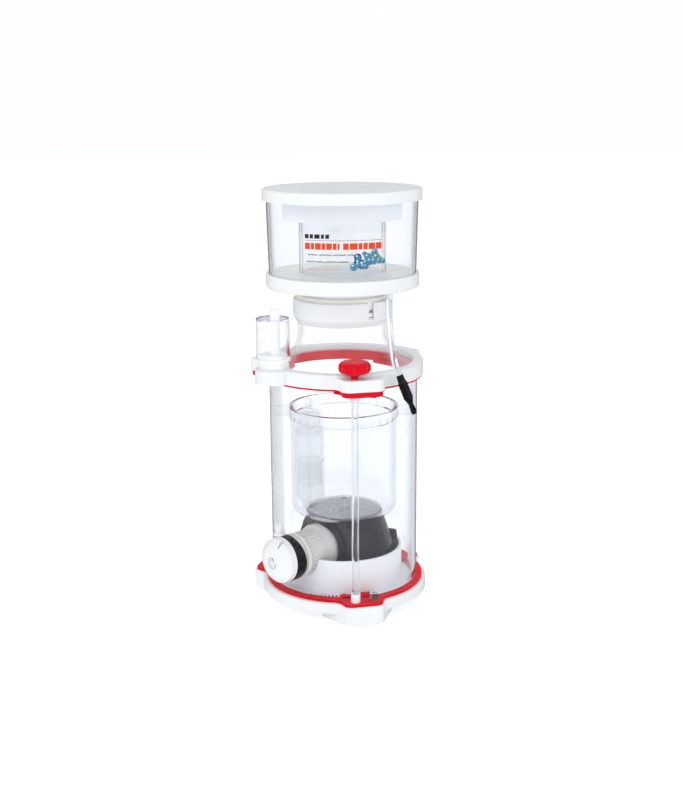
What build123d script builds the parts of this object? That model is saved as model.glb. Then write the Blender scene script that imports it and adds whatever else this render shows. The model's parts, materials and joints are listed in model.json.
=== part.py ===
"""In-sump protein skimmer for a marine aquarium.

Millimetres, +Z up. The origin is on the axis of the body, on the surface that the
skimmer stands on. The front, where the control knob is, faces -Y. A bearing is the
angle around the axis from the front towards +X.
"""
from build123d import *
from math import cos, pi, radians, sin, sqrt, tan
import os

os.makedirs("parts", exist_ok=True)

# ---- driving dimensions -------------------------------------------------------------
body_radius = 75.0            # outside of the clear body tube, 150 mm tube
body_wall = 4.0
base_top = 20.0               # top of the white base
flange_thick = 2.5            # red flange on the base
body_bottom = base_top + flange_thick
body_top = 235.5

lug_bearing = 12.5            # front lug; the other two follow at 120 degrees
lug_count = 3
lug_width = 41.0
lug_reach = 93.5
lug_flare = 12.0             # concave blend between a lug and its ring
lug_start = lug_bearing - 90  # the same direction counted from +X

base_radius = 85.0
rim_underside = 9.5
floor_underside = 15.0
foot_width = 43.0
foot_reach = 95.5
foot_inner = 56.0
foot_outline = [(56, 38), (66, 33), (80, 25), (91, 19), (95.5, 10)]  # along the lug, across it

flange_outer = 81.0
flange_inner = 72.0
screw_radius = 84.0
screw_offset = 7.6            # degrees from the lug's centre line

skirt_radius = 59.7
skirt_wall = 3.0
skirt_top = 55.5

shroud_radius = 54.0
shroud_shoulder = 47.0
shroud_top = 90.0
shroud_top_radius = 39.5
shroud_wall = 3.0
shroud_cut = 24.0             # flat face towards the intake, measured along its axis

intake_bearing = -48.0
intake_height = 57.0
wall_hole = 20.0
intake_ring_radius = 23.5
intake_ring_end = 83.0
cap_radius = 23.0
cap_end = 99.0

bucket_radius = 54.4
bucket_wall = 2.4
bucket_rim_bottom = 191.0
bucket_top = 203.0
bucket_rim_radius = 56.0
bucket_floor = shroud_top + 2.5

standpipe_x = -35.3
standpipe_radius = 15.5
standpipe_joint = 145.0
standpipe_cap_bottom = 178.0
standpipe_cap_top = 197.0

top_flange_top = 237.5
lip_top = 246.0
ring_top = 251.4
ring_lug_top = 249.0
ring_radius = 81.0
ring_bore = 71.4
ring_lug_reach = 94.5
lip_inner = 69.2

neck_radius = 45.0            # clear neck of the cone
neck_top = 296.5
collar_radius = 49.8
collar_bottom = 290.0
collar_top = 314.1
pin_bearing = 34.0
pin_height = 302.3

spigot_radius = 43.3
cup_bottom = 325.8
cup_ring_top = 339.4
cup_floor_top = 340.0
cup_ring_radius = 76.3
cup_wall_bottom_radius = 73.1
cup_wall_top_radius = 75.1
cup_wall_top = 418.6
riser_radius = 43.0
riser_top = 398.0
lid_radius = 78.7
lid_rim_bottom = 411.0
lid_top = 422.0
splash_radius = 59.2
splash_bottom = 392.5

shaft_radius = 3.5
shaft_bearing = 7.3
shaft_distance = 85.3
running = 0.08                # radial running clearance
knob_radius = 15.5
knob_bottom = 255.0
knob_top = 266.0

air_x, air_y = -65.5, -48.5   # axis of the air tube
air_radius = 5.75
silencer_x, silencer_y = -68.0, -46.0
silencer_radius = 16.25
silencer_bottom = 262.0
silencer_top = 301.0

hose_radius = 3.0
hose_route = [
    (45.5, -30.0, 316.0),
    (45.5, -30.0, 305.5),
    (45.6, -35.5, 294.5),
    (45.9, -45.0, 285.5),
    (46.5, -56.5, 277.5),
    (47.7, -66.8, 270.0),
    (49.3, -73.2, 260.6),
    (53.5, -74.6, 250.1),
]
plug_length = 40.0


# ---- helpers ------------------------------------------------------------------------
def polar(radius, bearing):
    """Plan position at a bearing counted from the front towards +X."""
    return (radius * sin(radians(bearing)), -radius * cos(radians(bearing)))


shaft_x, shaft_y = polar(shaft_distance, shaft_bearing)
intake_dx, intake_dy = polar(1, intake_bearing)
upright = Plane.XZ
intake_profile = Plane(origin=(0, 0, intake_height), x_dir=(intake_dx, intake_dy, 0),
                       z_dir=(intake_dy, -intake_dx, 0))
intake_section = Plane(origin=(0, 0, intake_height), x_dir=(-intake_dy, intake_dx, 0),
                       z_dir=(intake_dx, intake_dy, 0))
intake_axis = Axis((0, 0, intake_height), (intake_dx, intake_dy, 0))


def save(piece, label):
    """Name a finished piece and write it."""
    piece.part.label = label
    export_step(piece.part, f"parts/{label}.step")


def tube(outer, inner, bottom, top, centre=(0, 0)):
    """Plain upright tube."""
    with BuildPart() as piece:
        with BuildSketch(Plane.XY.offset(bottom)):
            with Locations(centre):
                Circle(outer)
                Circle(inner, mode=Mode.SUBTRACT)
        extrude(amount=top - bottom)
    return piece


def turned(points, centre=(0, 0)):
    """Upright turned piece from an outline of (radius, height) points."""
    with BuildPart() as piece:
        with BuildSketch(Plane(origin=(*centre, 0), x_dir=(1, 0, 0), z_dir=(0, -1, 0))):
            with BuildLine():
                Polyline(*points, close=True)
            make_face()
        revolve(axis=Axis((*centre, 0), (0, 0, 1)))
    return piece


def turned_on_intake(points):
    """Piece turned about the intake axis, from (distance along it, radius) points."""
    with BuildPart() as piece:
        with BuildSketch(intake_profile):
            with BuildLine():
                Polyline(*points, close=True)
            make_face()
        revolve(axis=intake_axis)
    return piece


def lugged_outline(ring_outer, inner, reach, width):
    """Outline of a round plate with three rounded lugs, blended into the ring."""
    Circle(ring_outer)
    with PolarLocations((inner + reach) / 2, lug_count, start_angle=lug_start):
        RectangleRounded(reach - inner, width, 9)
    offset(amount=lug_flare)
    offset(amount=-lug_flare)


def drill(positions, radius, bottom, top):
    """Straight round holes through the piece being built."""
    with BuildSketch(Plane.XY.offset(bottom)) as holes:
        with Locations(*positions):
            Circle(radius)
    extrude(holes.sketch, amount=top - bottom, mode=Mode.SUBTRACT)


lug_bearings = [lug_bearing + 120 * n for n in range(lug_count)]
screw_points = [polar(screw_radius, bearing + screw_offset) for bearing in lug_bearings]
shaft_point = [(shaft_x, shaft_y)]


# ---- base: plate on three feet; the outlet valve in the front foot drains under the plate --
duct_height = 10.0
duct_radius = 4.0
valve_radius = 6.4
valve_bottom = 4.5
drain_radius = 3.2
channel_height = 3.0
channel_width = 9.0
channel_start = 50.0
channel_end = shaft_distance + 4.5
slot_distance = 62.5
slot_plane = Plane(origin=(*polar(slot_distance, shaft_bearing), 0),
                   x_dir=(*polar(1, shaft_bearing + 90), 0), z_dir=(0, 0, 1))
shaft_section = Plane(origin=(0, 0, duct_height), x_dir=(*polar(1, shaft_bearing + 90), 0),
                      z_dir=(*polar(1, shaft_bearing), 0))

with BuildPart() as base:
    with BuildSketch(Plane.XY.offset(rim_underside)):
        lugged_outline(base_radius, foot_inner, foot_reach, foot_width)
    extrude(amount=base_top - rim_underside)
    with BuildSketch(Plane.XY.offset(rim_underside)):
        Circle(base_radius - 4)
    extrude(amount=floor_underside - rim_underside, mode=Mode.SUBTRACT)
    with BuildSketch(Plane.XY) as feet:
        with PolarLocations(0, lug_count, start_angle=lug_start):
            Polygon(*foot_outline, *[(along, -across) for along, across in reversed(foot_outline)],
                    align=None)
        fillet(feet.vertices(), 4)
    extrude(amount=floor_underside)
    with BuildSketch(Plane.XY):
        Circle(22)
    extrude(amount=floor_underside)
    fillet(base.faces().sort_by(Axis.Z)[-1].outer_wire().edges(), 1.5)
    drill(screw_points, 2.0, 6, base_top)
    drill(shaft_point, valve_radius, valve_bottom, base_top)
    with BuildSketch(slot_plane.offset(duct_height - duct_radius)):
        SlotOverall(14, 3)
    extrude(amount=base_top, mode=Mode.SUBTRACT)
    with BuildSketch(shaft_section.offset(slot_distance - 1)):
        Circle(duct_radius)
    extrude(amount=shaft_distance - slot_distance + 1, mode=Mode.SUBTRACT)
    drill(shaft_point, drain_radius, 0, valve_bottom)
    with BuildSketch(Plane.XY):
        with Locations(Location((*polar((channel_start + channel_end) / 2, shaft_bearing), 0),
                                (0, 0, shaft_bearing - 90))):
            SlotOverall(channel_end - channel_start, channel_width)
    extrude(amount=channel_height, mode=Mode.SUBTRACT)
save(base, "base")

tooth_count = 9
with BuildPart() as base_flange:
    with BuildSketch(Plane.XY.offset(base_top)):
        lugged_outline(flange_outer, 60.6, lug_reach, lug_width)
        Circle(flange_inner, mode=Mode.SUBTRACT)
        with PolarLocations((60.6 + flange_inner + 4) / 2, lug_count, start_angle=lug_start):
            RectangleRounded(flange_inner + 4 - 60.6, lug_width - 4, 4)
        for n in range(tooth_count):
            tooth_bearing = -28.5 + 3.1 * n
            length = 2.5 + 0.45 * n
            with Locations(Location((*polar(flange_inner + 0.5 - length / 2, tooth_bearing), 0),
                                    (0, 0, tooth_bearing - 90))):
                Rectangle(length + 1, 0.9 + 0.12 * n)
    extrude(amount=flange_thick)
    drill(screw_points, 2.1, base_top, body_bottom)
    drill(shaft_point, shaft_radius + running, base_top, body_bottom)
    with BuildSketch(slot_plane.offset(base_top)):
        SlotOverall(14, 3)
    extrude(amount=flange_thick, mode=Mode.SUBTRACT)
save(base_flange, "base_flange")

screw_head_height = 7.5
with BuildPart() as base_screws:
    with BuildSketch(Plane.XY.offset(8)):
        with Locations(*screw_points):
            Circle(1.9)
    extrude(amount=body_bottom - 8)
    with BuildSketch(Plane.XY.offset(body_bottom)):
        with Locations(*screw_points):
            Circle(4.8)
    extrude(amount=screw_head_height, taper=4)
    with BuildSketch(Plane.XY.offset(body_bottom + screw_head_height - 1.5)):
        for point in screw_points:
            with Locations(point):
                Rectangle(5.6, 1.2)
                Rectangle(1.2, 5.6)
    extrude(amount=1.5, mode=Mode.SUBTRACT)
save(base_screws, "base_screws")

# ---- pump well: white skirt, dark shroud and its flat inlet cover -----------------------
with BuildPart() as pump_skirt:
    with BuildSketch(Plane.XY.offset(base_top)):
        Circle(skirt_radius)
        Circle(skirt_radius - skirt_wall, mode=Mode.SUBTRACT)
    extrude(amount=skirt_top - base_top)
    with BuildSketch(intake_section.offset(30)):
        Circle(22.6)
        with Locations((0, 15)):
            Rectangle(45.2, 30)
    extrude(amount=40, mode=Mode.SUBTRACT)
    fillet(pump_skirt.faces().sort_by(Axis.Z)[-1].edges().filter_by(GeomType.CIRCLE), 0.8)
save(pump_skirt, "pump_skirt")


def shroud_outline(shell):
    """Half section of the cone-shaped shroud, grown inwards by shell."""
    slope = (shroud_radius - shroud_top_radius) / (shroud_top - shroud_shoulder)
    top = shroud_top - shell
    with BuildLine() as outline:
        Polyline((0, base_top), (shroud_radius - shell, base_top),
                 (shroud_radius - shell, shroud_shoulder),
                 (shroud_radius - shell - slope * (top - shroud_shoulder), top), (0, top), close=True)
    make_face(outline.edges())


neck_radius_out = 6.0
with BuildPart() as pump_shroud:
    with BuildSketch(upright):
        shroud_outline(0)
    revolve(axis=Axis.Z)
    fillet(pump_shroud.faces().sort_by(Axis.Z)[-1].edges(), 2)
    with BuildSketch(upright):
        shroud_outline(shroud_wall)
    revolve(axis=Axis.Z, mode=Mode.SUBTRACT)
    with BuildSketch(intake_section.offset(shroud_cut)):
        Rectangle(140, 100)
    extrude(amount=60, mode=Mode.SUBTRACT)
    drill([(0, 0)], neck_radius_out + 0.2, shroud_top - 5, shroud_top)
    with BuildSketch(Plane(origin=(0, 0, 60), z_dir=(*polar(1, 100), 0)).offset(40)):
        Circle(6.5)
    extrude(amount=20, mode=Mode.SUBTRACT)
save(pump_shroud, "pump_shroud")

cover_thick = 3.0
with BuildPart() as volute_cover:
    with BuildSketch(upright):
        shroud_outline(0.4)
    revolve(axis=Axis.Z)
    with BuildSketch(intake_section.offset(shroud_cut)):
        Rectangle(140, 100)
    extrude(amount=cover_thick, mode=Mode.INTERSECT)
    with BuildSketch(intake_section.offset(shroud_cut + cover_thick)):
        Circle(30.5)
        Circle(28.5, mode=Mode.SUBTRACT)
    extrude(amount=1.5)
    with BuildSketch(intake_section.offset(shroud_cut)):
        Circle(11.5)
    extrude(amount=10, mode=Mode.SUBTRACT)
save(volute_cover, "volute_cover")

# ---- pump: motor block, rotor, pin wheel and volute -------------------------------------
motor_back, motor_front = -38.0, -10.0
with BuildPart() as pump_motor:
    with BuildSketch(intake_section.offset(motor_back)):
        Circle(22)
    extrude(amount=motor_front - motor_back)
    chamfer(pump_motor.edges().filter_by(GeomType.CIRCLE), 1.5)
    with BuildSketch(intake_section.offset(motor_back + 3)):
        with Locations((0, base_top - intake_height + 12)):
            Rectangle(30, 24)
    extrude(amount=22)
    with BuildSketch(intake_section.offset(motor_back + 4)):
        Circle(8.6)
    extrude(amount=40, mode=Mode.SUBTRACT)
    with BuildSketch(intake_section.offset(motor_back + 1.5)):
        Circle(1.5)
    extrude(amount=3, mode=Mode.SUBTRACT)
save(pump_motor, "pump_motor")

volute_front = 13.0
with BuildPart() as volute:
    with BuildSketch(intake_section.offset(motor_front)):
        Circle(25)
    extrude(amount=volute_front - motor_front)
    with BuildSketch(Plane.XY.offset(intake_height + 20)):
        Circle(neck_radius_out)
    extrude(amount=bucket_floor + 2.5 - intake_height - 20)
    with BuildSketch(intake_section.offset(motor_front + 3)):
        Circle(22.5)
    extrude(amount=40, mode=Mode.SUBTRACT)
    with BuildSketch(intake_section.offset(motor_front)):
        Circle(8.7)
    extrude(amount=10, mode=Mode.SUBTRACT)
    drill([(0, 0)], 3.6, intake_height + 10, bucket_floor + 5)
save(volute, "volute")

inlet_throat = turned_on_intake([
    (volute_front, 11.5), (volute_front, 25), (volute_front + 2, 25), (volute_front + 2, 14),
    (shroud_cut, 14), (shroud_cut, 11.5),
])
save(inlet_throat, "inlet_throat")

shaft_bore = 1.5 + running
pin_rings = [(9, 6), (13, 9), (17, 12)]
with BuildPart() as impeller:
    with BuildSketch(intake_section.offset(-6)):
        Circle(4.5)
    extrude(amount=16)
    with BuildSketch(intake_section.offset(-4)):
        Circle(19)
    extrude(amount=2)
    with BuildSketch(intake_section.offset(-2)):
        for ring_radius_pins, pins in pin_rings:
            with PolarLocations(ring_radius_pins, pins):
                Circle(1.1)
    extrude(amount=10)
    with BuildSketch(intake_section.offset(-6)):
        Circle(shaft_bore)
    extrude(amount=20, mode=Mode.SUBTRACT)
save(impeller, "impeller")

rotor_magnet = turned_on_intake([(-32, shaft_bore), (-32, 7.6), (-6, 7.6), (-6, shaft_bore)])
save(rotor_magnet, "rotor_magnet")

with BuildPart() as impeller_shaft:
    with BuildSketch(intake_section.offset(motor_back + 1.5)):
        Circle(1.5)
    extrude(amount=12.0 - motor_back - 1.5)
save(impeller_shaft, "impeller_shaft")

with BuildPart() as cable_gland:
    with BuildSketch(Plane(origin=(0, 0, 60), z_dir=(*polar(1, 100), 0)).offset(44.2)):
        Circle(6.4)
    extrude(amount=5.4)
    with BuildSketch(Plane(origin=(0, 0, 60), z_dir=(*polar(1, 100), 0)).offset(49.6)):
        Circle(6.4)
    extrude(amount=6, taper=14)
    with BuildSketch(Plane(origin=(0, 0, 60), z_dir=(*polar(1, 100), 0)).offset(44)):
        Circle(3)
    extrude(amount=20, mode=Mode.SUBTRACT)
save(cable_gland, "cable_gland")

# ---- intake: union through the wall, black ring and the turning white cap -----------------
union_start = shroud_cut + cover_thick
with BuildPart() as intake_union:
    with BuildSketch(intake_profile):
        with BuildLine():
            Polyline((union_start, 13), (union_start, 20.5), (34, 20.5), (34, 25.5), (40, 25.5),
                     (41.5, 22), (60, 20), (63, 20), (63, 17), (77.5, 17), (77.5, 14.2),
                     (42, 14.2), (42, 13), close=True)
        make_face()
    revolve(axis=intake_axis)
    with BuildSketch(intake_section.offset(42)):
        with PolarLocations(21.6, 30):
            Rectangle(1.6, 1.4)
    extrude(amount=19, taper=0)
save(intake_union, "intake_union")

wall_seal = turned_on_intake([
    (63.2, 17.1), (63.2, 22.5), (66.5, 22.5), (66.5, 19.9), (76, 19.9), (76, 17.1),
])
save(wall_seal, "wall_seal")

nipple_point = (air_x - 0.8 * intake_dx, air_y - 0.8 * intake_dy)
with BuildPart() as intake_ring:
    with BuildSketch(intake_profile):
        with BuildLine():
            Polyline((66, 20), (66, intake_ring_radius), (intake_ring_end - 1, intake_ring_radius),
                     (intake_ring_end, intake_ring_radius - 1), (intake_ring_end, 17),
                     (80, 17), (80, 0), (78, 0), (78, 17.2), (76.2, 17.2), (76.2, 20), close=True)
        make_face()
    revolve(axis=intake_axis)
    with BuildSketch(Plane.XY):
        Circle(body_radius + 0.1)
    extrude(amount=120, mode=Mode.SUBTRACT)
    with BuildSketch(intake_section.offset(70)):
        with Locations((-9, 0)):
            Circle(6)
        with Locations((3, 0)):
            Circle(4)
    extrude(amount=11, mode=Mode.SUBTRACT)
    drill([nipple_point], 2.8, 74.5, 90)
save(intake_ring, "intake_ring")

cap_front = intake_ring_end + 0.3
with BuildPart() as intake_cap:
    with BuildSketch(intake_profile):
        with BuildLine():
            Line((80.3, 14), (80.3, 17 - running))
            Line((80.3, 17 - running), (cap_front, 17 - running))
            Line((cap_front, 17 - running), (cap_front, cap_radius))
            Line((cap_front, cap_radius), (90, cap_radius))
            ThreePointArc((90, cap_radius), (95.3, 18.5), (cap_end - 0.8, 12))
            Line((cap_end - 0.8, 12), (cap_end, 0))
            Line((cap_end, 0), (93.5, 0))
            Line((93.5, 0), (91.5, 12))
            Line((91.5, 12), (89, 14))
            Line((89, 14), (80.3, 14))
        make_face()
    revolve(axis=intake_axis)
    with BuildSketch(intake_section.offset(cap_end - 3.4)):
        with Locations((1, -0.5)):
            Circle(6.4)
    extrude(amount=8, mode=Mode.SUBTRACT)
    with BuildSketch(intake_section.offset(85)):
        with Locations((4.2, -3.6)):
            Circle(2.3)
        with Locations((-1.4, 2.6)):
            SlotOverall(6, 2.2, rotation=115)
    extrude(amount=20, mode=Mode.SUBTRACT)
    with BuildSketch(intake_section.offset(87)):
        with Locations((7.5, 19.5)):
            Rectangle(2.2, 7)
    extrude(amount=12, mode=Mode.SUBTRACT)
save(intake_cap, "intake_cap")

with BuildPart() as air_nipple:
    with BuildSketch(Plane.XY.offset(74.6)):
        with Locations(nipple_point):
            Circle(2.7)
    extrude(amount=6)
    with BuildSketch(Plane.XY.offset(80.4)):
        with Locations((air_x, air_y)):
            Circle(air_radius)
    extrude(amount=2.6)
    with BuildSketch(Plane.XY.offset(83)):
        with Locations((air_x, air_y)):
            Circle(4)
    extrude(amount=9)
    drill([nipple_point], 1.4, 74, 100)
save(air_nipple, "air_nipple")

# ---- body, reaction bucket and the parts in it ----------------------------------------------
with BuildPart() as body_tube:
    with BuildSketch(Plane.XY.offset(body_bottom)):
        Circle(body_radius)
        Circle(body_radius - body_wall, mode=Mode.SUBTRACT)
    extrude(amount=body_top - body_bottom)
    with BuildSketch(intake_section.offset(30)):
        Circle(wall_hole)
    extrude(amount=60, mode=Mode.SUBTRACT)
save(body_tube, "body_tube")

bucket_round = 14.0
with BuildPart() as bucket:
    with BuildSketch(upright):
        with BuildLine():
            Polyline((neck_radius_out + 0.2, shroud_top), (bucket_radius, shroud_top),
                     (bucket_radius, bucket_rim_bottom), (bucket_rim_radius, bucket_rim_bottom + 1.5),
                     (bucket_rim_radius, bucket_top), (bucket_radius - bucket_wall, bucket_top),
                     (bucket_radius - bucket_wall, bucket_floor),
                     (neck_radius_out + 0.2, bucket_floor), close=True)
        make_face()
        fillet(vertices().sort_by_distance((bucket_radius, shroud_top))[0], bucket_round)
        fillet(vertices().sort_by_distance((bucket_radius - bucket_wall, bucket_floor))[0],
               bucket_round - bucket_wall)
    revolve(axis=Axis.Z)
    with BuildSketch(Plane.XY.offset(bucket_rim_bottom + 2)):
        with PolarLocations(bucket_rim_radius, 36):
            Rectangle(1, 1.6)
    extrude(amount=4)
save(bucket, "bucket")

with BuildPart() as centring_tabs:
    with BuildSketch(Plane.XY.offset(bucket_rim_bottom + 1.5)):
        for side in (-1, 1):
            with Locations((side * (bucket_rim_radius + body_radius - body_wall + 0.4) / 2, 0)):
                RectangleRounded(body_radius - body_wall - bucket_rim_radius - 1.4, 8, 1)
    extrude(amount=10)
save(centring_tabs, "centring_tabs")

hole_rings = [(12, 10), (20, 16), (28, 22), (34, 28)]
with BuildPart() as diffuser_plate:
    with BuildSketch(upright):
        with BuildLine():
            Line((neck_radius_out + 0.2, bucket_floor + 0.2), (38, bucket_floor + 0.2))
            Line((38, bucket_floor + 0.2), (38, bucket_floor + 2))
            ThreePointArc((38, bucket_floor + 2), (23, bucket_floor + 4.4),
                          (neck_radius_out + 0.2, bucket_floor + 5))
            Line((neck_radius_out + 0.2, bucket_floor + 5), (neck_radius_out + 0.2, bucket_floor + 0.2))
        make_face()
    revolve(axis=Axis.Z)
    for ring_distance, holes in hole_rings:
        drill([polar(ring_distance, 360 / holes * n) for n in range(holes)], 1.3, 90, 100)
    drill([(standpipe_x, 0)], 8.4, 90, 100)
save(diffuser_plate, "diffuser_plate")

nozzle_bottom = bucket_floor + 2.5
outlet_nozzle = turned([
    (3.6, nozzle_bottom), (6, nozzle_bottom), (6, nozzle_bottom + 2), (4.9, nozzle_bottom + 3),
    (4.9, 102.4), (4.5, 102.8), (3.6, 102.8),
])
save(outlet_nozzle, "outlet_nozzle")

pipe_wall = 2.0
standpipe = turned([
    (6, bucket_floor + 0.1), (8, bucket_floor + 0.1), (8, bucket_floor + 6),
    (standpipe_radius, bucket_floor + 13), (standpipe_radius, standpipe_joint),
    (standpipe_radius - pipe_wall, standpipe_joint),
    (standpipe_radius - pipe_wall, bucket_floor + 14), (6, bucket_floor + 7.2),
], (standpipe_x, 0))
save(standpipe, "standpipe")

spigot_gap = 0.3
sleeve_bore = standpipe_radius - pipe_wall
standpipe_sleeve = turned([
    (sleeve_bore, standpipe_joint + spigot_gap), (standpipe_radius, standpipe_joint + spigot_gap),
    (standpipe_radius, standpipe_cap_bottom), (sleeve_bore, standpipe_cap_bottom),
    (sleeve_bore, standpipe_joint + 6), (sleeve_bore - spigot_gap - 1.6, standpipe_joint + 6),
    (sleeve_bore - spigot_gap - 1.6, 120), (sleeve_bore - spigot_gap, 120),
    (sleeve_bore - spigot_gap, standpipe_joint + spigot_gap),
], (standpipe_x, 0))
save(standpipe_sleeve, "standpipe_sleeve")

cap_wall = 1.8
standpipe_cap = turned([
    (0, standpipe_cap_top - 3), (sleeve_bore - 0.1 - cap_wall, standpipe_cap_top - 3),
    (sleeve_bore - 0.1 - cap_wall, standpipe_cap_bottom - 6), (sleeve_bore - 0.1, standpipe_cap_bottom - 6),
    (sleeve_bore - 0.1, standpipe_cap_bottom), (sleeve_bore + 0.5, standpipe_cap_bottom),
    (sleeve_bore + 0.5, standpipe_cap_top - 1), (sleeve_bore - 0.5, standpipe_cap_top),
    (3.75, standpipe_cap_top), (3.75, 209), (3.15, 209.6), (0, 209.6),
], (standpipe_x, 0))
save(standpipe_cap, "standpipe_cap")

# ---- top of the body: red flange, white ring, clear cone, locking collar ---------------------
with BuildPart() as top_flange:
    with BuildSketch(Plane.XY.offset(body_top)):
        lugged_outline(flange_outer - 1, 60, lug_reach, lug_width)
        Circle(lip_inner, mode=Mode.SUBTRACT)
        with PolarLocations(66, lug_count, start_angle=lug_start):
            RectangleRounded(18, lug_width - 4, 4)
    extrude(amount=top_flange_top - body_top)
    with BuildSketch(Plane.XY.offset(body_top)):
        Circle(ring_bore - 0.2)
        Circle(lip_inner, mode=Mode.SUBTRACT)
    extrude(amount=lip_top - body_top)
    with BuildSketch(Plane.XY.offset(232)):
        lugged_outline(body_radius, 60, lug_reach, lug_width - 1)
        Circle(body_radius + 0.3, mode=Mode.SUBTRACT)
    extrude(amount=body_top - 232)
    drill(screw_points, 2.1, 230, 240)
    drill(shaft_point, shaft_radius + running, 230, 240)
    drill([(air_x, air_y)], air_radius + 0.3, 230, 260)
save(top_flange, "top_flange")

with BuildPart() as top_ring:
    with BuildSketch(Plane.XY.offset(top_flange_top)):
        lugged_outline(ring_radius - 1, 62, ring_lug_reach, lug_width + 2)
    extrude(amount=ring_lug_top - top_flange_top)
    fillet(top_ring.faces().sort_by(Axis.Z)[-1].edges(), 1.2)
    with BuildSketch(Plane.XY.offset(top_flange_top)):
        Circle(ring_radius)
        with Locations((silencer_x, silencer_y)):
            Circle(silencer_radius + 2)
    extrude(amount=ring_top - top_flange_top)
    fillet(top_ring.faces().sort_by(Axis.Z)[-1].edges(), 1.2)
    with BuildSketch(Plane.XY.offset(top_flange_top)):
        Circle(ring_bore)
    extrude(amount=ring_top - top_flange_top, mode=Mode.SUBTRACT)
    drill(screw_points, 2.0, 230, 246)
    drill(shaft_point, shaft_radius + running, 230, 260)
    drill([(air_x, air_y)], air_radius + 0.1, 230, 260)
save(top_ring, "top_ring")

with BuildPart() as top_screws:
    with BuildSketch(Plane.XY.offset(229.6)):
        with Locations(*screw_points):
            RegularPolygon(3.6, 6)
    extrude(amount=2.4)
    with BuildSketch(Plane.XY.offset(232)):
        with Locations(*screw_points):
            Circle(1.9)
    extrude(amount=13)
save(top_screws, "top_screws")

with BuildPart() as cone:
    with BuildSketch(upright):
        with BuildLine():
            Line((neck_radius - 2.5, neck_top), (neck_radius, neck_top))
            Line((neck_radius, neck_top), (neck_radius, 282))
            Spline((neck_radius, 282), (47.0, 271.5), (50.5, 262.5), (56, 255.5), (65, 250),
                   tangents=[(0, -1), (1, -0.3)])
            Line((65, 250), (ring_bore - 0.3, 249))
            Line((ring_bore - 0.3, 249), (ring_bore - 0.3, lip_top + 0.1))
            Line((ring_bore - 0.3, lip_top + 0.1), (65.5, lip_top + 0.1))
            Spline((65.5, lip_top + 0.1), (54.5, 252.5), (48.3, 261), (44.7, 270.5),
                   (neck_radius - 2.5, 282), tangents=[(-1, 0.3), (0, 1)])
            Line((neck_radius - 2.5, 282), (neck_radius - 2.5, neck_top))
        make_face()
    revolve(axis=Axis.Z)
save(cone, "cone")

collar_bore = neck_radius + running
with BuildPart() as bayonet_collar:
    with BuildSketch(upright):
        with BuildLine():
            Polyline((collar_bore, collar_bottom), (45.9, collar_bottom), (collar_radius, 296.2),
                     (collar_radius, collar_top - 0.8), (collar_radius - 0.8, collar_top),
                     (47.0, collar_top), (47.0, 297.2), (collar_bore, 297.2), close=True)
        make_face()
    revolve(axis=Axis.Z)
    foot_step = 4.0
    for pin in range(3):
        slot_bearing = pin_bearing + 120 * pin
        with BuildSketch(Plane.XY.offset(298.2)):
            with Locations(Location((*polar(48, slot_bearing), 0), (0, 0, slot_bearing - 90))):
                Rectangle(8, 6)
        extrude(amount=20, mode=Mode.SUBTRACT)
        with BuildSketch(Plane.XY.offset(299.5)):
            for step in range(1, 4):
                turn = slot_bearing - foot_step * step
                with Locations(Location((*polar(46.3, turn), 0), (0, 0, turn - 90))):
                    Rectangle(4.6, 6)
        extrude(amount=6, mode=Mode.SUBTRACT)
save(bayonet_collar, "bayonet_collar")

# ---- collection cup ------------------------------------------------------------------------
nipple_x, nipple_y, hose_start = hose_route[0]
with BuildPart() as cup_base:
    with BuildSketch(upright):
        with BuildLine():
            Polyline((40.4, 298), (spigot_radius, 298), (spigot_radius, 318.2), (47, cup_bottom),
                     (cup_ring_radius - 1, cup_bottom), (cup_ring_radius, cup_bottom + 1),
                     (cup_ring_radius, cup_ring_top - 0.6), (cup_ring_radius - 0.6, cup_ring_top),
                     (73.5, cup_ring_top), (73.5, 336.8), (riser_radius + 0.1, 336.8),
                     (riser_radius + 0.1, 330), (40.4, 330), close=True)
        make_face()
    revolve(axis=Axis.Z)
    for pin in range(3):
        pin_plane = Plane(origin=(0, 0, pin_height), z_dir=(*polar(1, pin_bearing + 120 * pin), 0))
        with BuildSketch(pin_plane.offset(42)):
            Circle(2.2)
        extrude(amount=6.3)
    drill([(nipple_x, nipple_y)], 1.5, 320, 340)
save(cup_base, "cup_base")

neck_seal = turned([
    (spigot_radius + 0.05, 306.5), (46.5, 306.5), (46.7, 307), (46.7, 316.6), (45.6, 318),
    (spigot_radius + 0.05, 318),
])
save(neck_seal, "neck_seal")

with BuildPart() as cup_floor:
    with BuildSketch(Plane.XY.offset(336.8)):
        Circle(cup_wall_bottom_radius - 2.8)
        Circle(riser_radius + 0.1, mode=Mode.SUBTRACT)
        with Locations((nipple_x, nipple_y)):
            Circle(1.5, mode=Mode.SUBTRACT)
    extrude(amount=cup_floor_top - 336.8)
save(cup_floor, "cup_floor")

riser_tube = tube(riser_radius, riser_radius - 2.5, 330, riser_top)
save(riser_tube, "riser_tube")

cup_wall = turned([
    (cup_wall_bottom_radius - 2.6, 336.8), (cup_wall_bottom_radius, 336.8),
    (cup_wall_top_radius, cup_wall_top), (cup_wall_top_radius - 2.6, cup_wall_top),
])
save(cup_wall, "cup_wall")

label_bottom, label_top = 345.0, 385.0
label_half = 33.0
label_gap = 0.05
label_thick = 0.25


def wall_radius(height):
    """Outside radius of the tapering cup wall at a height."""
    rise = (height - 336.8) / (cup_wall_top - 336.8)
    return cup_wall_bottom_radius + (cup_wall_top_radius - cup_wall_bottom_radius) * rise


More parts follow.
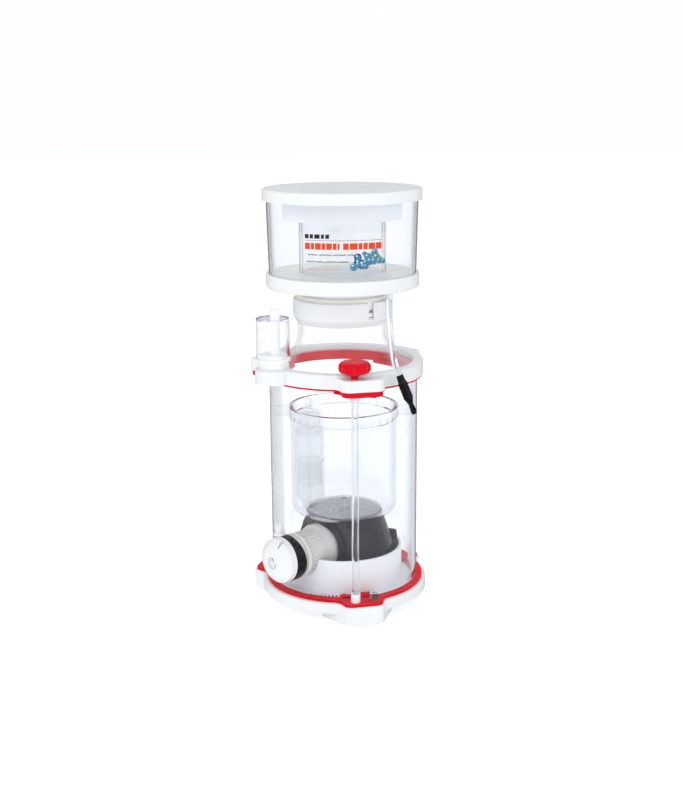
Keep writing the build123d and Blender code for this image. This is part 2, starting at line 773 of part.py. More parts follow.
with BuildPart() as cup_label:
    label_direction = polar(1, -label_half)
    with BuildSketch(Plane(origin=(0, 0, 0), x_dir=(*label_direction, 0),
                           z_dir=(label_direction[1], -label_direction[0], 0))):
        with BuildLine():
            Polyline((wall_radius(label_bottom) + label_gap, label_bottom),
                     (wall_radius(label_bottom) + label_gap + label_thick, label_bottom),
                     (wall_radius(label_top) + label_gap + label_thick, label_top),
                     (wall_radius(label_top) + label_gap, label_top), close=True)
        make_face()
    revolve(axis=Axis.Z, revolution_arc=2 * label_half)
save(cup_label, "cup_label")

lid = turned([
    (0, lid_top), (lid_radius - 1, lid_top), (lid_radius, lid_top - 1), (lid_radius, lid_rim_bottom),
    (75.7, lid_rim_bottom), (75.7, 418.9), (0, 418.9),
])
save(lid, "lid")

splash_ring = tube(splash_radius, splash_radius - 2.5, splash_bottom, 418.9)
save(splash_ring, "splash_ring")

# ---- drain: nipple, hose and plug -------------------------------------------------------------
drain_nipple = turned([
    (1.5, cup_bottom), (4.6, cup_bottom), (4.6, cup_bottom - 3), (3.4, cup_bottom - 3.6),
    (3.4, hose_start), (1.5, hose_start),
], (nipple_x, nipple_y))
save(drain_nipple, "drain_nipple")


def corner_radii(points):
    """Largest arc radius that each corner's two runs allow."""
    runs = [Vector(*end) - Vector(*start) for start, end in zip(points, points[1:])]
    radii = []
    for before, after in zip(runs, runs[1:]):
        half_turn = radians(before.get_angle(after)) / 2
        radii.append(0.45 * min(before.length, after.length) / tan(half_turn))
    return radii


hose_radii = corner_radii(hose_route)
print("hose corner radii", [round(radius, 1) for radius in hose_radii])
with BuildPart() as drain_hose:
    with BuildLine() as hose_line:
        FilletPolyline(*hose_route, radius=hose_radii)
    with BuildSketch(Plane(origin=hose_line.wires()[0] @ 0, z_dir=hose_line.wires()[0] % 0)):
        Circle(hose_radius)
    sweep()
hose_length = hose_line.wires()[0].length
print("hose length", round(hose_length, 1), "volume over section times length",
      round(drain_hose.part.volume / (pi * hose_radius ** 2 * hose_length), 4))
save(drain_hose, "drain_hose")

plug_start = Vector(*hose_route[-1])
plug_direction = (plug_start - Vector(*hose_route[-2])).normalized()
plug_across = Vector(0, 0, 1).cross(plug_direction).normalized()
plug_profile = Plane(origin=plug_start, x_dir=plug_direction, z_dir=plug_across.cross(plug_direction))
grip_start, grip_end = 8.0, 24.0
rib_count = 5
rib_pitch = (grip_end - grip_start) / rib_count
with BuildPart() as drain_plug:
    with BuildSketch(plug_profile):
        with BuildLine():
            Polyline((0, 0), (0, 3.4), (6, 3.7), (grip_start, 4.4), (grip_end, 4.4),
                     (grip_end + 5, 2.6), (grip_end + 5, 0), close=True)
        make_face()
        for rib in range(rib_count):
            with Locations((grip_start + rib_pitch * (rib + 0.5), 2.4)):
                Rectangle(rib_pitch * 0.55, 4.8)
    revolve(axis=Axis(plug_start, plug_direction))
    with BuildSketch(plug_profile.offset(-1.3)):
        with BuildLine():
            Polyline((grip_end + 2, -2.4), (grip_end + 2, 2.4), (plug_length - 3, 5),
                     (plug_length, 3), (plug_length, -3), (plug_length - 3, -5), close=True)
        make_face()
        with BuildLine():
            Polyline((grip_end + 7, -1.2), (grip_end + 7, 1.2), (plug_length - 3.4, 2.8),
                     (plug_length - 2.4, 0), (plug_length - 3.4, -2.8), close=True)
        make_face(mode=Mode.SUBTRACT)
    extrude(amount=2.6)
save(drain_plug, "drain_plug")

# ---- outlet control: knob, shaft, bushes and valve plug ---------------------------------------
lobes = 8
with BuildPart() as control_knob:
    with BuildSketch(Plane.XY.offset(knob_bottom)):
        with Locations((shaft_x, shaft_y)):
            Circle(knob_radius - 2.2)
            with PolarLocations(knob_radius - 3.4, lobes):
                Circle(3.4)
    extrude(amount=knob_top - knob_bottom)
    with BuildSketch(Plane(origin=(shaft_x, shaft_y, 0), x_dir=(1, 0, 0), z_dir=(0, -1, 0))):
        with BuildLine():
            Line((0, knob_bottom), (12, knob_bottom))
            ThreePointArc((12, knob_bottom), (14.6, knob_bottom + 1.4), (knob_radius, knob_bottom + 4))
            Line((knob_radius, knob_bottom + 4), (knob_radius, knob_top - 4.5))
            ThreePointArc((knob_radius, knob_top - 4.5), (13.6, knob_top - 1.2), (9, knob_top))
            Line((9, knob_top), (0, knob_top))
            Line((0, knob_top), (0, knob_bottom))
        make_face()
    revolve(axis=Axis((shaft_x, shaft_y, 0), (0, 0, 1)), mode=Mode.INTERSECT)
    with BuildSketch(Plane.XY.offset(240)):
        with Locations((shaft_x, shaft_y)):
            Circle(shaft_radius)
    extrude(amount=knob_bottom + 1 - 240)
save(control_knob, "control_knob")

with BuildPart() as control_shaft:
    with BuildSketch(Plane.XY.offset(15)):
        with Locations((shaft_x, shaft_y)):
            Circle(shaft_radius)
    extrude(amount=240 - 15)
save(control_shaft, "control_shaft")

with BuildPart() as outlet_gate:
    with BuildSketch(Plane.XY.offset(valve_bottom + 0.3)):
        with Locations((shaft_x, shaft_y)):
            Circle(valve_radius - running)
    extrude(amount=base_top - 0.3 - valve_bottom - 0.3)
    with BuildSketch(shaft_section.offset(shaft_distance - 10)):
        Circle(duct_radius - 0.2)
    extrude(amount=10, mode=Mode.SUBTRACT)
    drill(shaft_point, drain_radius - 0.2, valve_bottom, duct_height)
    drill(shaft_point, shaft_radius, 15, 20)
save(outlet_gate, "outlet_gate")

with BuildPart() as shaft_bushes:
    for bottom, top, outer in ((body_bottom, 31.5, 4.7), (227.5, 232, 4.7)):
        with BuildSketch(Plane.XY.offset(bottom)):
            with Locations((shaft_x, shaft_y)):
                Circle(outer)
                Circle(shaft_radius + running, mode=Mode.SUBTRACT)
        extrude(amount=top - bottom)
save(shaft_bushes, "shaft_bushes")

# ---- air line: tube up the outside, silencer on the ring's ear ---------------------------------
air_tube = tube(air_radius, 4.0, 83.1, 252.0, (air_x, air_y))
save(air_tube, "air_tube")

air_stem = tube(4.75, 3.0, 252.1, 310.0, (air_x, air_y))
save(air_stem, "air_stem")

with BuildPart() as silencer_base:
    with BuildSketch(Plane.XY.offset(ring_top)):
        with Locations((silencer_x, silencer_y)):
            Circle(silencer_radius - 1.2)
    extrude(amount=silencer_bottom - ring_top - 2)
    with BuildSketch(Plane.XY.offset(silencer_bottom - 2)):
        with Locations((silencer_x, silencer_y)):
            Circle(silencer_radius + 0.6)
    extrude(amount=2)
    with BuildSketch(Plane.XY.offset(silencer_bottom)):
        with Locations((silencer_x, silencer_y)):
            Circle(silencer_radius - 2.4)
    extrude(amount=4)
    drill([(air_x, air_y)], air_radius + 0.1, ring_top - 1, 253)
    drill([(air_x, air_y)], 4.85, ring_top - 1, 270)
save(silencer_base, "silencer_base")

with BuildPart() as silencer_chamber:
    with BuildSketch(Plane.XY.offset(silencer_bottom + 0.3)):
        with Locations((silencer_x, silencer_y)):
            Circle(silencer_radius)
            Circle(silencer_radius - 2, mode=Mode.SUBTRACT)
    extrude(amount=silencer_top - silencer_bottom - 0.3)
    with BuildSketch(Plane.XY.offset(silencer_top - 2)):
        with Locations((silencer_x, silencer_y)):
            Circle(silencer_radius)
        with Locations((air_x, air_y)):
            Circle(5.1, mode=Mode.SUBTRACT)
    extrude(amount=2)
save(silencer_chamber, "silencer_chamber")
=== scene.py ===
"""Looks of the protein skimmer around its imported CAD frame. Metres, in the CAD's own frame."""

import json
import math
import random

import bmesh
import bpy
from mathutils import Matrix, Vector


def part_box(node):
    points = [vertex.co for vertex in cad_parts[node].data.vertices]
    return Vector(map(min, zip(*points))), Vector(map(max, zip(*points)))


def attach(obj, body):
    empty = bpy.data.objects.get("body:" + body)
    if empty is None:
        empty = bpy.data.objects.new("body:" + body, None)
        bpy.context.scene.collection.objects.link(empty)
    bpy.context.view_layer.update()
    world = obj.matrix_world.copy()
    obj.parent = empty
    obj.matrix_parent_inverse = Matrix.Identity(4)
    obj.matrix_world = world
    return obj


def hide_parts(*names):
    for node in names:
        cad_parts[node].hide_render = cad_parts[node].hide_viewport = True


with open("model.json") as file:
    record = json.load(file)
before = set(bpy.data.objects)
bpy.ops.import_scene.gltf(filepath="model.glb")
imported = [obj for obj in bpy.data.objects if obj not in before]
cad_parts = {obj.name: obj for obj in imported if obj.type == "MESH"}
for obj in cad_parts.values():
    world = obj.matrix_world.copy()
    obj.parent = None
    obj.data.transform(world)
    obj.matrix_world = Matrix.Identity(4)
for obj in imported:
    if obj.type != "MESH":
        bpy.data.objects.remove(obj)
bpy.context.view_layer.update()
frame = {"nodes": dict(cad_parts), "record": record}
MM = 0.001
OBJECT_MIDDLE = (0, 0, 0.22)
OBJECT_LOW = (0, 0, 0.16)
FLOOR_RADIUS = 9.0
FLOOR_GAP = 0.2 * MM


# ---- camera, light and floor ------------------------------------------------------------
def make_camera():
    """Camera a little above the object, as a product photograph is taken."""
    data = bpy.data.cameras.new("camera")
    data.sensor_width = 36
    data.lens = 56.57
    camera = bpy.data.objects.new("camera", data)
    pitch, yaw, roll = math.radians(13.97), math.radians(0.09), math.radians(0.42)
    aim = Vector((-math.sin(yaw) * math.cos(pitch), math.cos(yaw) * math.cos(pitch), -math.sin(pitch)))
    camera.location = (0, -1.244, 0.517)
    camera.rotation_mode = "QUATERNION"
    camera.rotation_quaternion = Matrix.Rotation(roll, 3, aim).to_quaternion() @ aim.to_track_quat("-Z", "Y")
    bpy.context.scene.collection.objects.link(camera)
    bpy.context.scene.camera = camera


def area_light(name, place, target, size, power):
    """One soft box pointing at a place."""
    data = bpy.data.lights.new(name, "AREA")
    data.shape = "RECTANGLE"
    data.size, data.size_y = size
    data.energy = power
    light = bpy.data.objects.new(name, data)
    light.location = place
    light.rotation_euler = (Vector(target) - Vector(place)).to_track_quat("-Z", "Y").to_euler()
    bpy.context.scene.collection.objects.link(light)


def make_world():
    """White surroundings. Reflections see them dim low down, so that what is behind a wall shows."""
    world = bpy.data.worlds.new("studio")
    bpy.context.scene.world = world
    world.use_nodes = True
    nodes, links = world.node_tree.nodes, world.node_tree.links
    nodes.clear()
    coordinate = nodes.new("ShaderNodeTexCoord")
    split = nodes.new("ShaderNodeSeparateXYZ")
    links.new(coordinate.outputs["Generated"], split.inputs[0])

    def fade(axis, start, end, value_start, value_end):
        """Brightness that goes from one value to another along a direction."""
        remap = nodes.new("ShaderNodeMapRange")
        remap.interpolation_type = "SMOOTHSTEP"
        sockets = ("From Min", "From Max", "To Min", "To Max")
        for socket, value in zip(sockets, (start, end, value_start, value_end)):
            remap.inputs[socket].default_value = value
        links.new(split.outputs[axis], remap.inputs["Value"])
        return remap.outputs[0]

    def product(first, second):
        """Two brightnesses multiplied."""
        node = nodes.new("ShaderNodeMath")
        node.operation = "MULTIPLY"
        links.new(first, node.inputs[0])
        links.new(second, node.inputs[1])
        return node.outputs[0]

    def choose(switch, when_off, when_on):
        """One brightness or another, by the kind of ray."""
        node = nodes.new("ShaderNodeMix")
        links.new(switch, node.inputs["Factor"])
        links.new(when_off, node.inputs["A"])
        links.new(when_on, node.inputs["B"])
        return node.outputs["Result"]

    path = nodes.new("ShaderNodeLightPath")
    mirrored = product(fade("Z", -0.05, 0.60, 0.08, 0.80), fade("X", -0.9, -0.2, 0.4, 1.0))
    lighting = product(product(fade("Y", -0.9, 0.3, 1.08, 0.84), fade("Z", 0.3, 1.0, 1.0, 0.88)),
                       fade("X", 0.2, 1.0, 1.0, 0.84))
    white = nodes.new("ShaderNodeValue")
    white.outputs[0].default_value = 1.0
    strength = choose(path.outputs["Is Glossy Ray"], lighting, mirrored)
    for seen_directly in ("Is Transmission Ray", "Is Camera Ray"):
        strength = choose(path.outputs[seen_directly], strength, white.outputs[0])
    shade = nodes.new("ShaderNodeBackground")
    shade.inputs["Color"].default_value = (0.985, 0.992, 1.0, 1)
    output = nodes.new("ShaderNodeOutputWorld")
    links.new(strength, shade.inputs["Strength"])
    links.new(shade.outputs[0], output.inputs[0])


def make_floor():
    """Round pale floor, a little bright of itself so that it runs into the white surroundings."""
    mesh = bpy.data.meshes.new("floor")
    build = bmesh.new()
    bmesh.ops.create_circle(build, cap_ends=True, radius=FLOOR_RADIUS, segments=96)
    build.to_mesh(mesh)
    build.free()
    floor = bpy.data.objects.new("floor", mesh)
    floor.location.z = -FLOOR_GAP
    bpy.context.scene.collection.objects.link(floor)
    material = bpy.data.materials.new("floor")
    material.use_nodes = True
    shader = material.node_tree.nodes["Principled BSDF"]
    shader.inputs["Base Color"].default_value = (0.80, 0.80, 0.80, 1)
    shader.inputs["Roughness"].default_value = 0.8
    shader.inputs["Specular IOR Level"].default_value = 0.1
    shader.inputs["Emission Color"].default_value = (1, 1, 1, 1)
    shader.inputs["Emission Strength"].default_value = 0.42
    mesh.materials.append(material)
    floor.visible_glossy = False


# ---- materials ---------------------------------------------------------------------------
class Recipe:
    """A Principled material whose colour, roughness and bump come from object-space noise."""

    def __init__(self, name):
        self.material = bpy.data.materials.new(name)
        self.material.use_nodes = True
        self.nodes = self.material.node_tree.nodes
        self.links = self.material.node_tree.links
        self.shader = self.nodes["Principled BSDF"]
        self.output = self.nodes["Material Output"]
        self.place = self.nodes.new("ShaderNodeTexCoord").outputs["Object"]

    def noise(self, scale, detail=3.0):
        """Noise in metres of the object's own space."""
        texture = self.nodes.new("ShaderNodeTexNoise")
        texture.inputs["Scale"].default_value = scale
        texture.inputs["Detail"].default_value = detail
        self.links.new(self.place, texture.inputs["Vector"])
        return texture.outputs["Fac"]

    def spread(self, source, low, high):
        """A number from low to high as the source goes from 0.3 to 0.7."""
        remap = self.nodes.new("ShaderNodeMapRange")
        remap.inputs["From Min"].default_value = 0.3
        remap.inputs["From Max"].default_value = 0.7
        remap.inputs["To Min"].default_value = low
        remap.inputs["To Max"].default_value = high
        self.links.new(source, remap.inputs["Value"])
        return remap.outputs[0]

    def colour(self, source, low, high):
        """Base colour between two colours."""
        ramp = self.nodes.new("ShaderNodeValToRGB")
        ramp.color_ramp.elements[0].position = 0.3
        ramp.color_ramp.elements[0].color = (*low, 1)
        ramp.color_ramp.elements[1].position = 0.7
        ramp.color_ramp.elements[1].color = (*high, 1)
        self.links.new(source, ramp.inputs[0])
        self.links.new(ramp.outputs[0], self.shader.inputs["Base Color"])

    def roughness(self, source, low, high):
        """Roughness between two values."""
        self.links.new(self.spread(source, low, high), self.shader.inputs["Roughness"])

    def bump(self, source, depth, strength):
        """Fine unevenness, depth in metres."""
        node = self.nodes.new("ShaderNodeBump")
        node.inputs["Strength"].default_value = strength
        node.inputs["Distance"].default_value = depth
        self.links.new(source, node.inputs["Height"])
        self.links.new(node.outputs[0], self.shader.inputs["Normal"])

    def set(self, **values):
        """Values that are the same all over, set on the shader's own sockets."""
        for name, value in values.items():
            self.shader.inputs[name.replace("_", " ")].default_value = value
        return self

    def passes_lamps(self, tint):
        """Lets lamp light through the clear plastic, so that what it encloses is lit."""
        clear = self.nodes.new("ShaderNodeBsdfTransparent")
        clear.inputs["Color"].default_value = (*tint, 1)
        path = self.nodes.new("ShaderNodeLightPath")
        mix = self.nodes.new("ShaderNodeMixShader")
        either = self.nodes.new("ShaderNodeMath")
        either.operation = "MAXIMUM"
        self.links.new(path.outputs["Is Shadow Ray"], either.inputs[0])
        self.links.new(path.outputs["Is Diffuse Ray"], either.inputs[1])
        self.links.new(either.outputs[0], mix.inputs[0])
        self.links.new(self.shader.outputs[0], mix.inputs[1])
        self.links.new(clear.outputs[0], mix.inputs[2])
        self.links.new(mix.outputs[0], self.output.inputs["Surface"])


def plastic(name, low, high, rough, grain=260.0, blotch=28.0, gloss=0.5):
    """Moulded opaque plastic: slight colour drift, uneven gloss, very fine moulded waviness."""
    recipe = Recipe(name)
    recipe.colour(recipe.noise(blotch), low, high)
    recipe.roughness(recipe.noise(90.0), *rough)
    recipe.bump(recipe.noise(grain, 1.0), 0.004 * MM, 0.4)
    recipe.set(Specular_IOR_Level=gloss)
    return recipe


def clear_plastic(name, edge=(0.42, 0.44, 0.48), edge_span=(0.50, 1.0), tint=(0.985, 0.992, 1.0),
                  depth_tint=(0.50, 0.60, 0.80), density=16.0, rough=(0.004, 0.02), ior=1.49):
    """Clear acrylic or hose: its colour is painted towards the edge colour where it is seen edge-on, painted
    light standing in for reflections at the rims; darker where it is thick, by real absorption.
    """
    recipe = Recipe(name)
    # Painted rim tone: the facing angle blends the tint into the edge colour. This is painted shade where
    # the edge colour is darker and a painted highlight where it is lighter.
    facing = recipe.nodes.new("ShaderNodeLayerWeight")
    facing.inputs["Blend"].default_value = 0.5
    ramp = recipe.nodes.new("ShaderNodeValToRGB")
    ramp.color_ramp.elements[0].position = edge_span[0]
    ramp.color_ramp.elements[0].color = (*tint, 1)
    ramp.color_ramp.elements[1].position = edge_span[1]
    ramp.color_ramp.elements[1].color = (*edge, 1)
    recipe.links.new(facing.outputs["Facing"], ramp.inputs[0])
    recipe.links.new(ramp.outputs[0], recipe.shader.inputs["Base Color"])
    recipe.roughness(recipe.noise(60.0), *rough)
    recipe.bump(recipe.noise(34.0, 1.0), 0.01 * MM, 0.35)
    recipe.set(Transmission_Weight=1.0, IOR=ior)
    recipe.passes_lamps(tint)
    absorb = recipe.nodes.new("ShaderNodeVolumeAbsorption")
    absorb.inputs["Color"].default_value = (*depth_tint, 1)
    absorb.inputs["Density"].default_value = density
    recipe.links.new(absorb.outputs[0], recipe.output.inputs["Volume"])
    return recipe


def frosted_plastic(name, low, high):
    """Milky plastic that lets through a little of what is behind it."""
    recipe = plastic(name, low, high, (0.30, 0.40), grain=120.0)
    recipe.set(Transmission_Weight=0.25, IOR=1.46)
    recipe.passes_lamps((0.94, 0.94, 0.94))
    return recipe


def haze(name, low, high, cover, edge_cover):
    """Thin, slightly milky plastic: nearly see-through face-on, more covering where it is seen edge-on."""
    recipe = plastic(name, low, high, (0.20, 0.30), grain=120.0)
    facing = recipe.nodes.new("ShaderNodeLayerWeight")
    facing.inputs["Blend"].default_value = 0.5
    remap = recipe.nodes.new("ShaderNodeMapRange")
    remap.inputs["From Min"].default_value = 0.45
    remap.inputs["To Min"].default_value = cover
    remap.inputs["To Max"].default_value = edge_cover
    recipe.links.new(facing.outputs["Facing"], remap.inputs["Value"])
    recipe.links.new(remap.outputs[0], recipe.shader.inputs["Alpha"])
    return recipe


def make_materials():
    """One material for each slot of the record, and further kinds for single nodes."""
    made = {}
    made["white"] = plastic("white", (0.80, 0.825, 0.84), (0.84, 0.865, 0.88), (0.28, 0.38), gloss=0.35)
    # A brighter copy of the white plastic: painted light for the pump skirt, which stands behind clear walls
    # and would otherwise render darker than the white outside them.
    made["white_painted_light"] = plastic("white_painted_light", (0.91, 0.93, 0.945), (0.93, 0.95, 0.965), (0.28, 0.38),
                                gloss=0.35)
    made["red"] = plastic("red", (0.62, 0.002, 0.012), (0.72, 0.003, 0.017), (0.26, 0.36), gloss=0.12)
    made["dark"] = plastic("dark", (0.005, 0.004, 0.010), (0.013, 0.011, 0.019), (0.24, 0.34), gloss=0.24)
    made["grey"] = plastic("grey", (0.46, 0.48, 0.50), (0.56, 0.58, 0.60), (0.30, 0.45))
    made["rubber"] = plastic("rubber", (0.004, 0.004, 0.005), (0.010, 0.010, 0.011), (0.35, 0.5),
                             gloss=0.3)
    made["cream"] = plastic("cream", (0.86, 0.85, 0.76), (0.91, 0.90, 0.83), (0.35, 0.5))
    made["steel"] = plastic("steel", (0.62, 0.60, 0.60), (0.74, 0.72, 0.72), (0.22, 0.38))
    made["steel"].set(Metallic=1.0)
    made["ceramic"] = plastic("ceramic", (0.78, 0.77, 0.72), (0.84, 0.83, 0.79), (0.15, 0.25))
    # Painted shade: these clear kinds are painted darker at their rims where seen edge-on. The default edge
    # is a mild grey. The cup wall, control shaft and riser tube get stronger, near-black rims in place of
    # dark reflections.
    made["clear"] = clear_plastic("clear")
    made["clear_cup"] = clear_plastic("clear_cup", edge=(0.16, 0.17, 0.19), edge_span=(0.66, 0.86))
    made["clear_dark_edge"] = clear_plastic("clear_dark_edge", edge=(0.02, 0.02, 0.03),
                                            edge_span=(0.66, 0.80), depth_tint=(0.45, 0.46, 0.50),
                                            density=35.0)
    made["hose"] = clear_plastic("hose", tint=(0.93, 0.95, 0.96), rough=(0.08, 0.2), ior=1.41)
    # Painted highlight: the smoked plastic is painted much lighter at its rims where seen edge-on, in place
    # of the bright reflections along the edge of the pump cover.
    made["smoked"] = clear_plastic("smoked", edge=(0.80, 0.79, 0.82), tint=(0.46, 0.43, 0.48),
                                   rough=(0.03, 0.09))
    made["cone_haze"] = haze("cone_haze", (0.76, 0.79, 0.81), (0.82, 0.85, 0.87), 0.05, 0.55)
    made["pipe_haze"] = haze("pipe_haze", (0.58, 0.62, 0.62), (0.66, 0.70, 0.70), 0.12, 0.34)
    made["tube_haze"] = haze("tube_haze", (0.66, 0.69, 0.69), (0.74, 0.77, 0.77), 0.14, 0.40)
    made["plate_haze"] = haze("plate_haze", (0.80, 0.82, 0.84), (0.88, 0.89, 0.91), 0.20, 0.55)
    made["frosted"] = frosted_plastic("frosted", (0.95, 0.96, 0.97), (0.97, 0.98, 0.99))
    made["beige"] = frosted_plastic("beige", (0.78, 0.76, 0.69), (0.86, 0.84, 0.78))
    made["label"] = label_film()
    return {slot: recipe.material for slot, recipe in made.items()}


def label_film():
    """Clear printed film: nearly see-through, with a faint milky body."""
    recipe = plastic("label", (0.93, 0.94, 0.95), (0.97, 0.97, 0.98), (0.2, 0.3))
    recipe.set(Alpha=0.12)
    return recipe


def ink(name, colour):
    """Printed ink with the slight mottle of a screen print."""
    darker = tuple(0.85 * part for part in colour)
    return plastic(name, darker, colour, (0.3, 0.45), blotch=420.0, gloss=0.2).material


# ---- CAD nodes -----------------------------------------------------------------------------
# The pump skirt takes the brighter copy of the white, which is painted light. The clear kinds carry painted
# shade or painted highlight at their rims.
NODE_KINDS = {"riser_tube": "clear_dark_edge", "cup_wall": "clear_cup", "control_shaft": "clear_cup",
              "cone": "cone_haze", "standpipe": "pipe_haze", "standpipe_sleeve": "pipe_haze",
              "standpipe_cap": "pipe_haze", "centring_tabs": "pipe_haze", "air_tube": "tube_haze",
              "diffuser_plate": "plate_haze", "pump_skirt": "white_painted_light"}


def dress_nodes(materials):
    """Gives every CAD node the material of its slot, or its own kind of that plastic."""
    for part in frame["record"]["subparts"]:
        kind = NODE_KINDS.get(part["node"], part["material_slot"])
        for slot in frame["nodes"][part["node"]].material_slots:
            slot.material = materials[kind]


# ---- label print ---------------------------------------------------------------------------
label_low, label_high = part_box("cup_label")
wall_low, wall_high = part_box("cup_wall")
WALL_BOTTOM_RADIUS = 73.1 * MM
WALL_TOP_RADIUS = (wall_high[0] - wall_low[0]) / 2
PRINT_RADIUS = 75 * MM
PRINT_LIFT = 0.42 * MM
INK_THICK = 0.08 * MM


def wall_point(bearing, height, lift):
    """A point on the tapering cup wall, at a bearing from the front in degrees."""
    share = (height - wall_low[2]) / (wall_high[2] - wall_low[2])
    radius = WALL_BOTTOM_RADIUS + (WALL_TOP_RADIUS - WALL_BOTTOM_RADIUS) * share + lift
    angle = math.radians(bearing)
    return Vector((radius * math.sin(angle), -radius * math.cos(angle), height))


def link_mesh(name, build, material):
    """Makes an object from a bmesh."""
    bmesh.ops.recalc_face_normals(build, faces=build.faces)
    mesh = bpy.data.meshes.new(name)
    build.to_mesh(mesh)
    build.free()
    mesh.materials.append(material)
    piece = bpy.data.objects.new(name, mesh)
    bpy.context.scene.collection.objects.link(piece)
    return piece


def printed_shape(name, outlines, material, layer=0):
    """Thin ink shapes on the wall. An outline is a closed list of (bearing, height)."""
    build = bmesh.new()
    lift = PRINT_LIFT + layer * INK_THICK
    for outline in outlines:
        outer = [build.verts.new(wall_point(b, h, lift + INK_THICK)) for b, h in outline]
        inner = [build.verts.new(wall_point(b, h, lift)) for b, h in outline]
        build.faces.new(outer)
        build.faces.new(list(reversed(inner)))
        count = len(outline)
        for index in range(count):
            after = (index + 1) % count
            build.faces.new((outer[index], inner[index], inner[after], outer[after]))
    bmesh.ops.triangulate(build, faces=[f for f in build.faces if len(f.verts) > 4])
    piece = link_mesh(name, build, material)
    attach(piece, "cup")


def stripe(left, right, height, thick, wave=0.0, waves=1.0):
    """Outlines of a printed stripe, cut in short lengths so that it follows the wall."""
    outlines = []
    count = max(2, int((right - left) / 1.2))
    step = (right - left) / count
    for index in range(count):
        start, end = left + index * step, left + (index + 1) * step
        rise = [wave * math.sin(2 * math.pi * waves * (b - left) / (right - left)) for b in (start, end)]
        outlines.append([(start, height - thick / 2 + rise[0]), (end, height - thick / 2 + rise[1]),
                         (end, height + thick / 2 + rise[1]), (start, height + thick / 2 + rise[0])])
    return outlines


def blocks(source, left, right, height, thick, width, gap):
    """A row of plain blocks of uneven width, which stands for a line of print."""
    outlines = []
    start = left
    while start < right:
        end = min(right, start + source.uniform(0.55, 1.45) * width)
        outlines += stripe(start, end, height, thick)
        start = end + gap
    return outlines


def squiggles(source, left, right, height):
    """A row of short waves, which stands for a line of handwriting."""
    outlines = []
    start = left
    while start < right - 3:
        end = min(right, start + source.uniform(5.0, 9.5))
        outlines += stripe(start, end, height, 0.7 * MM, source.uniform(0.5, 0.9) * MM, (end - start) / 2.2)
        start = end + 1.3
    return outlines


def disc(bearing, height, radius, count=28):
    """Outline of a printed spot."""
    spread = math.degrees(radius / PRINT_RADIUS)
    turns = [2 * math.pi * k / count for k in range(count)]
    return [(bearing + spread * math.cos(turn), height + radius * math.sin(turn)) for turn in turns]


def make_bubbles(source, bottom, tall):
    """A cluster of printed bubbles, each a dark rim, a paler middle and a small light."""
    deep, middle = ink("ink_blue_deep", (0.01, 0.03, 0.12)), ink("ink_blue", (0.03, 0.11, 0.27))
    pale, light = ink("ink_blue_pale", (0.12, 0.32, 0.42)), ink("ink_light", (0.66, 0.82, 0.90))
    green = ink("ink_green", (0.22, 0.36, 0.14))
    rings = {"deep": ([], deep), "middle": ([], middle), "pale": ([], pale), "green": ([], green)}
    cores, lights = [], []
    bubble_count = 19
    for index in range(bubble_count):
        share = index / (bubble_count - 1)
        bearing = 9.5 + 20.5 * share + source.uniform(-1.5, 1.5)
        height = bottom + tall * (0.33 + 0.12 * share + source.uniform(-0.19, 0.17))
        radius = source.uniform(1.8, 4.6) * MM
        kinds = ("deep", "middle", "middle", "pale") if share < 0.72 else ("pale", "green", "middle")
        kind = source.choice(kinds)
        rings[kind][0].append(disc(bearing, height, radius))
        cores.append(disc(bearing + 0.3, height - 0.15 * radius, 0.62 * radius))
        lights.append(disc(bearing - 0.9, height + 0.4 * radius, 0.24 * radius, 14))
    for layer, (kind, (outlines, material)) in enumerate(rings.items(), 1):
        printed_shape(f"label_bubbles_{kind}", outlines, material, layer)
    printed_shape("label_bubble_cores", cores, ink("ink_blue_core", (0.08, 0.24, 0.42)), 5)
    printed_shape("label_bubble_lights", lights, light, 6)


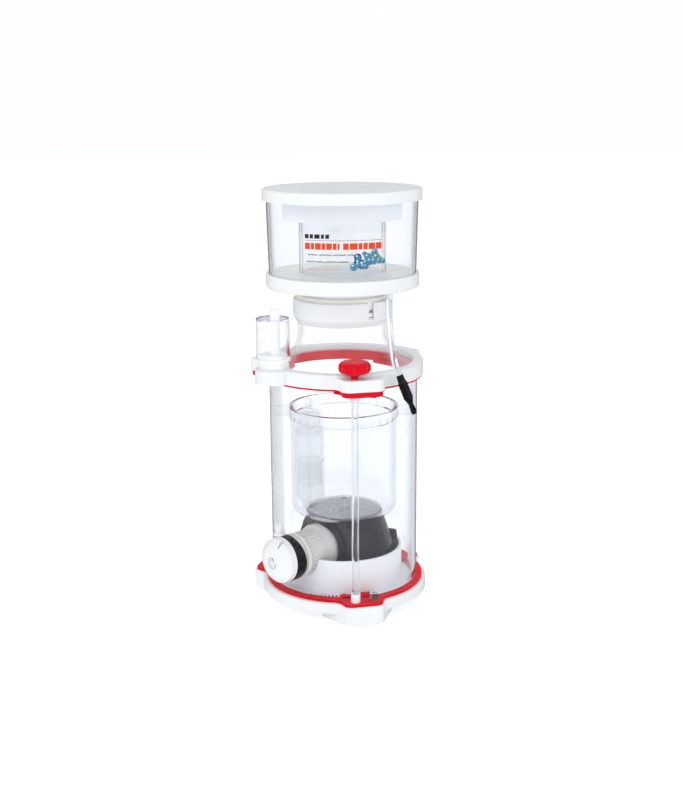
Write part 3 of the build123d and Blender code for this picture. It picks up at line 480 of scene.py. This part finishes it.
def make_label_print():
    """Generic print: rows of plain blocks, short waves, thin lines and bubbles. No lettering."""
    bottom, tall = label_low[2], label_high[2] - label_low[2]
    left, right = -28.0, 29.5
    source = random.Random(7)
    short_row = blocks(source, left, left + 18.5, bottom + 0.93 * tall, 0.10 * tall, 3.6, 1.0)
    printed_shape("label_short_row", short_row, ink("ink_black", (0.03, 0.03, 0.04)))
    printed_shape("label_hairline", stripe(left, right + 1, bottom + 0.835 * tall, 0.4 * MM),
                  ink("ink_brown", (0.30, 0.10, 0.07)))
    red_row = blocks(source, left, left + 26, bottom + 0.70 * tall, 0.15 * tall, 4.4, 0.7)
    red_row += blocks(source, left + 28.5, right, bottom + 0.70 * tall, 0.15 * tall, 4.4, 0.7)
    printed_shape("label_red_row", red_row, ink("ink_red", (0.78, 0.07, 0.02)))
    navy = ink("ink_navy", (0.03, 0.04, 0.09))
    printed_shape("label_wave_upper", squiggles(source, left + 2, left + 37, bottom + 0.50 * tall), navy)
    printed_shape("label_wave_lower", squiggles(source, left + 1, left + 36, bottom + 0.34 * tall), navy)
    printed_shape("label_orange_line", stripe(left + 1, left + 26, bottom + 0.16 * tall, 0.4 * MM),
                  ink("ink_orange", (0.85, 0.40, 0.16)))
    make_bubbles(source, bottom, tall)


# ---- drain hose ------------------------------------------------------------------------------
def make_hose(materials):
    """The limp clear drain hose on its route from the cup's nipple over the ring's edge."""
    route = [
        (45.5, -30.0, 316.0),
        (45.5, -30.0, 305.5),
        (45.6, -35.5, 294.5),
        (45.9, -45.0, 285.5),
        (46.5, -56.5, 277.5),
        (47.7, -66.8, 270.0),
        (49.3, -73.2, 260.6),
        (53.5, -74.6, 250.1),
    ]
    data = bpy.data.curves.new("drain_hose_line", "CURVE")
    data.dimensions = "3D"
    spline = data.splines.new("NURBS")
    spline.points.add(len(route) - 1)
    for point, place in zip(spline.points, route):
        point.co = (*(MM * value for value in place), 1)
    spline.order_u = 3
    spline.use_endpoint_u = True
    spline.resolution_u = 12
    data.bevel_depth = 3.0 * MM
    data.bevel_resolution = 8
    data.use_fill_caps = True
    hose = bpy.data.objects.new("clear_drain_hose", data)
    bpy.context.scene.collection.objects.link(hose)
    data.materials.append(materials["hose"])
    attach(hose, "cup")
    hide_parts("drain_hose")


# ---- scene -------------------------------------------------------------------------------------
make_camera()
make_world()
make_floor()
area_light("key", (-1.1, -1.3, 1.5), OBJECT_MIDDLE, (0.9, 0.9), 6)
area_light("fill", (1.4, -1.1, 0.8), OBJECT_LOW, (0.8, 1.2), 2.5)
area_light("back", (0.2, 1.3, 1.6), OBJECT_LOW, (1.6, 1.0), 5)

slots = make_materials()
dress_nodes(slots)
make_label_print()
make_hose(slots)

scene = bpy.context.scene
scene.view_settings.view_transform = "Standard"
scene.cycles.max_bounces = 32
scene.cycles.transmission_bounces = 32
scene.cycles.transparent_max_bounces = 48
scene.cycles.diffuse_bounces = 4
scene.cycles.glossy_bounces = 6
